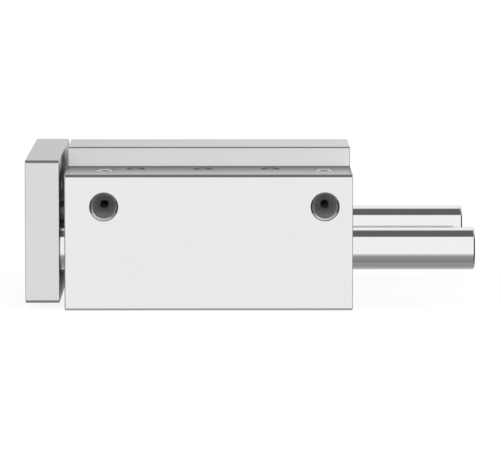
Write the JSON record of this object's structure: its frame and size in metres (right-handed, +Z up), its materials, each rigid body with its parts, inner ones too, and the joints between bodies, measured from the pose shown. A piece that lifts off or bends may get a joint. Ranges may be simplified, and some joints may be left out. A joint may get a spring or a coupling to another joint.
{
  "type": "guided pneumatic cylinder",
  "caption": "Compact guided pneumatic cylinder: stepped aluminium housing with side ports, polished guide rods in ball bushes, and a flat yoke plate that the piston rod slides out.",
  "frame": {"origin": "middle of the housing's bottom face", "axes": "+X along the stroke axis from the yoke to the guide rods' free ends, so the yoke moves out along -X; +Z up from the base to the rib; the ports open towards -Y"},
  "size_m": [0.1702, 0.116, 0.0587],
  "materials": {
    "housing_aluminium": "satin anodised extrusion",
    "yoke_aluminium": "satin anodised plate",
    "cap_aluminium": "turned, anodised",
    "rod_chrome": "hard chrome plated, ground and polished",
    "screw_steel": "zinc plated",
    "ring_steel": "phosphated spring steel",
    "plug_steel": "stainless",
    "bush_steel": "ground bearing steel",
    "bush_bronze": "sintered bronze",
    "cage_plastic": "moulded",
    "wear_plastic": "moulded",
    "magnet_dark": "plastic bonded magnet",
    "seal_rubber": "moulded",
    "pad_rubber": "moulded polyurethane"
  },
  "bodies": {
    "cylinder_body": {"housing": "housing_aluminium", "duct_plugs": "plug_steel", "front_cap": "cap_aluminium", "front_cap_seal": "seal_rubber", "front_cap_ring": "ring_steel", "rod_bush": "bush_bronze", "rod_seal": "seal_rubber", "rear_cap": "cap_aluminium", "rear_cap_seal": "seal_rubber", "rear_cap_ring": "ring_steel", "near_front_ring": "ring_steel", "near_front_wiper": "seal_rubber", "near_front_bush_sleeve": "bush_steel", "near_front_bush_cage": "cage_plastic", "near_front_bush_balls": "bush_steel", "near_rear_ring": "ring_steel", "near_rear_wiper": "seal_rubber", "near_rear_bush_sleeve": "bush_steel", "near_rear_bush_cage": "cage_plastic", "near_rear_bush_balls": "bush_steel", "far_front_ring": "ring_steel", "far_front_wiper": "seal_rubber", "far_front_bush_sleeve": "bush_steel", "far_front_bush_cage": "cage_plastic", "far_front_bush_balls": "bush_steel", "far_rear_ring": "ring_steel", "far_rear_wiper": "seal_rubber", "far_rear_bush_sleeve": "bush_steel", "far_rear_bush_cage": "cage_plastic", "far_rear_bush_balls": "bush_steel"},
    "carriage": {"yoke": "yoke_aluminium", "rod_screws": "screw_steel", "near_guide_rod": "rod_chrome", "far_guide_rod": "rod_chrome", "piston_rod": "rod_chrome", "piston": "cap_aluminium", "piston_nut": "screw_steel", "front_piston_seal": "seal_rubber", "rear_piston_seal": "seal_rubber", "magnet_ring": "magnet_dark", "wear_ring": "wear_plastic", "front_pad": "pad_rubber", "rear_pad": "pad_rubber"}
  },
  "joints": [
    {"name": "stroke", "type": "slide", "parent": "cylinder_body", "child": "carriage", "axis": [-1, 0, 0], "range_m": [0, 0.05]}
  ]
}
